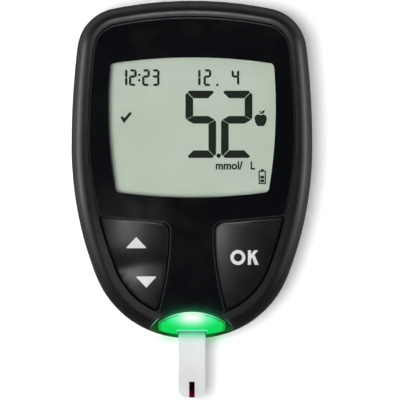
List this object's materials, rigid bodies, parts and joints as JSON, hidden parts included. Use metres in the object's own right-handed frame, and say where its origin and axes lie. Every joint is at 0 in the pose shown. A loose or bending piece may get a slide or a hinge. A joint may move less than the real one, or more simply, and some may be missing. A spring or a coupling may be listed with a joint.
{
  "type": "blood glucose meter",
  "caption": "Handheld blood glucose meter with a lit strip port, a display under a gloss lens, a rocker key and an OK key.",
  "frame": {"origin": "middle of the body's length and width, on the flat back that the meter rests on", "axes": "+Z out of the face, +Y from the strip port to the display end, +X to the right as the face is read"},
  "size_m": [0.056, 0.0922, 0.018],
  "materials": {
    "satin_black": "fine satin moulded surface",
    "housing_black": "fine spark texture",
    "key_black": "soft satin with white printed symbols",
    "lens_gloss": "clear lens over black print, high gloss",
    "black_print": "matt ink",
    "surround_black": "gloss black moulding",
    "light_guide": "milky diffusing plastic lit green",
    "led_body": "clear epoxy",
    "gasket_foam": "closed cell foam",
    "polariser": "satin film",
    "display_glass": "grey-green liquid crystal glass",
    "white_plastic": "smooth white moulding",
    "pink_rubber": "striped conductive elastomer",
    "board_green": "solder mask over copper tracks",
    "chip_black": "moulded epoxy with tinned legs",
    "tinned_metal": "tinned sheet",
    "ceramic": "fired ceramic with tinned ends",
    "buzzer_black": "smooth moulding",
    "connector_ivory": "glass filled moulding",
    "gold_contact": "gold plated spring strip",
    "dome_steel": "stamped spring steel",
    "contact_steel": "nickel plated spring strip",
    "cell_steel": "turned nickel plated can",
    "screw_steel": "zinc plated",
    "label_paper": "blank polyester label",
    "strip_white": "white polyester film",
    "strip_spacer": "adhesive film",
    "blood": "wet"
  },
  "bodies": {
    "meter": {"front_housing": "satin_black", "rear_housing": "housing_black", "window_lens": "lens_gloss", "window_mask": "black_print", "port_surround": "surround_black", "port_light_guide": "light_guide", "port_leds": "led_body", "display_gasket": "gasket_foam", "display_films": "polariser", "display_glass": "display_glass", "display_holder": "white_plastic", "display_backlight": "white_plastic", "display_connector": "pink_rubber", "circuit_board": "board_green", "processor": "chip_black", "radio_module": "tinned_metal", "quartz_crystal": "tinned_metal", "chip_components": "ceramic", "buzzer": "buzzer_black", "strip_connector": "connector_ivory", "strip_contacts": "gold_contact", "up_dome": "dome_steel", "down_dome": "dome_steel", "ok_dome": "dome_steel", "battery_springs": "contact_steel", "battery_tabs": "contact_steel", "left_cell": "cell_steel", "right_cell": "cell_steel", "housing_screws": "screw_steel", "back_label": "label_paper"},
    "rocker": {"rocker_key": "key_black"},
    "ok_button": {"ok_key": "key_black"},
    "cover": {"battery_cover": "housing_black"},
    "strip": {"strip_base": "strip_white", "strip_electrodes": "gold_contact", "strip_spacer": "strip_spacer", "strip_lid": "strip_white", "blood_sample": "blood"}
  },
  "joints": [
    {"name": "rocker_tilt", "type": "hinge", "parent": "meter", "child": "rocker", "pos_m": [0, -0.02125, 0.0126], "axis": [1, 0, 0], "range_deg": [-2.5, 2.5], "stiffness_Nm_per_rad": 0.2, "deforming": ["up_dome", "down_dome"]},
    {"name": "ok_press", "type": "slide", "parent": "meter", "child": "ok_button", "axis": [0, 0, -1], "range_m": [0, 0.0004], "stiffness_N_per_m": 1500, "deforming": ["ok_dome"]},
    {"name": "strip_slide", "type": "slide", "parent": "meter", "child": "strip", "axis": [0, -1, 0], "range_m": [0, 0.03]},
    {"name": "cover_slide", "type": "slide", "parent": "meter", "child": "cover", "axis": [0, 1, 0], "range_m": [0, 0.045]}
  ]
}
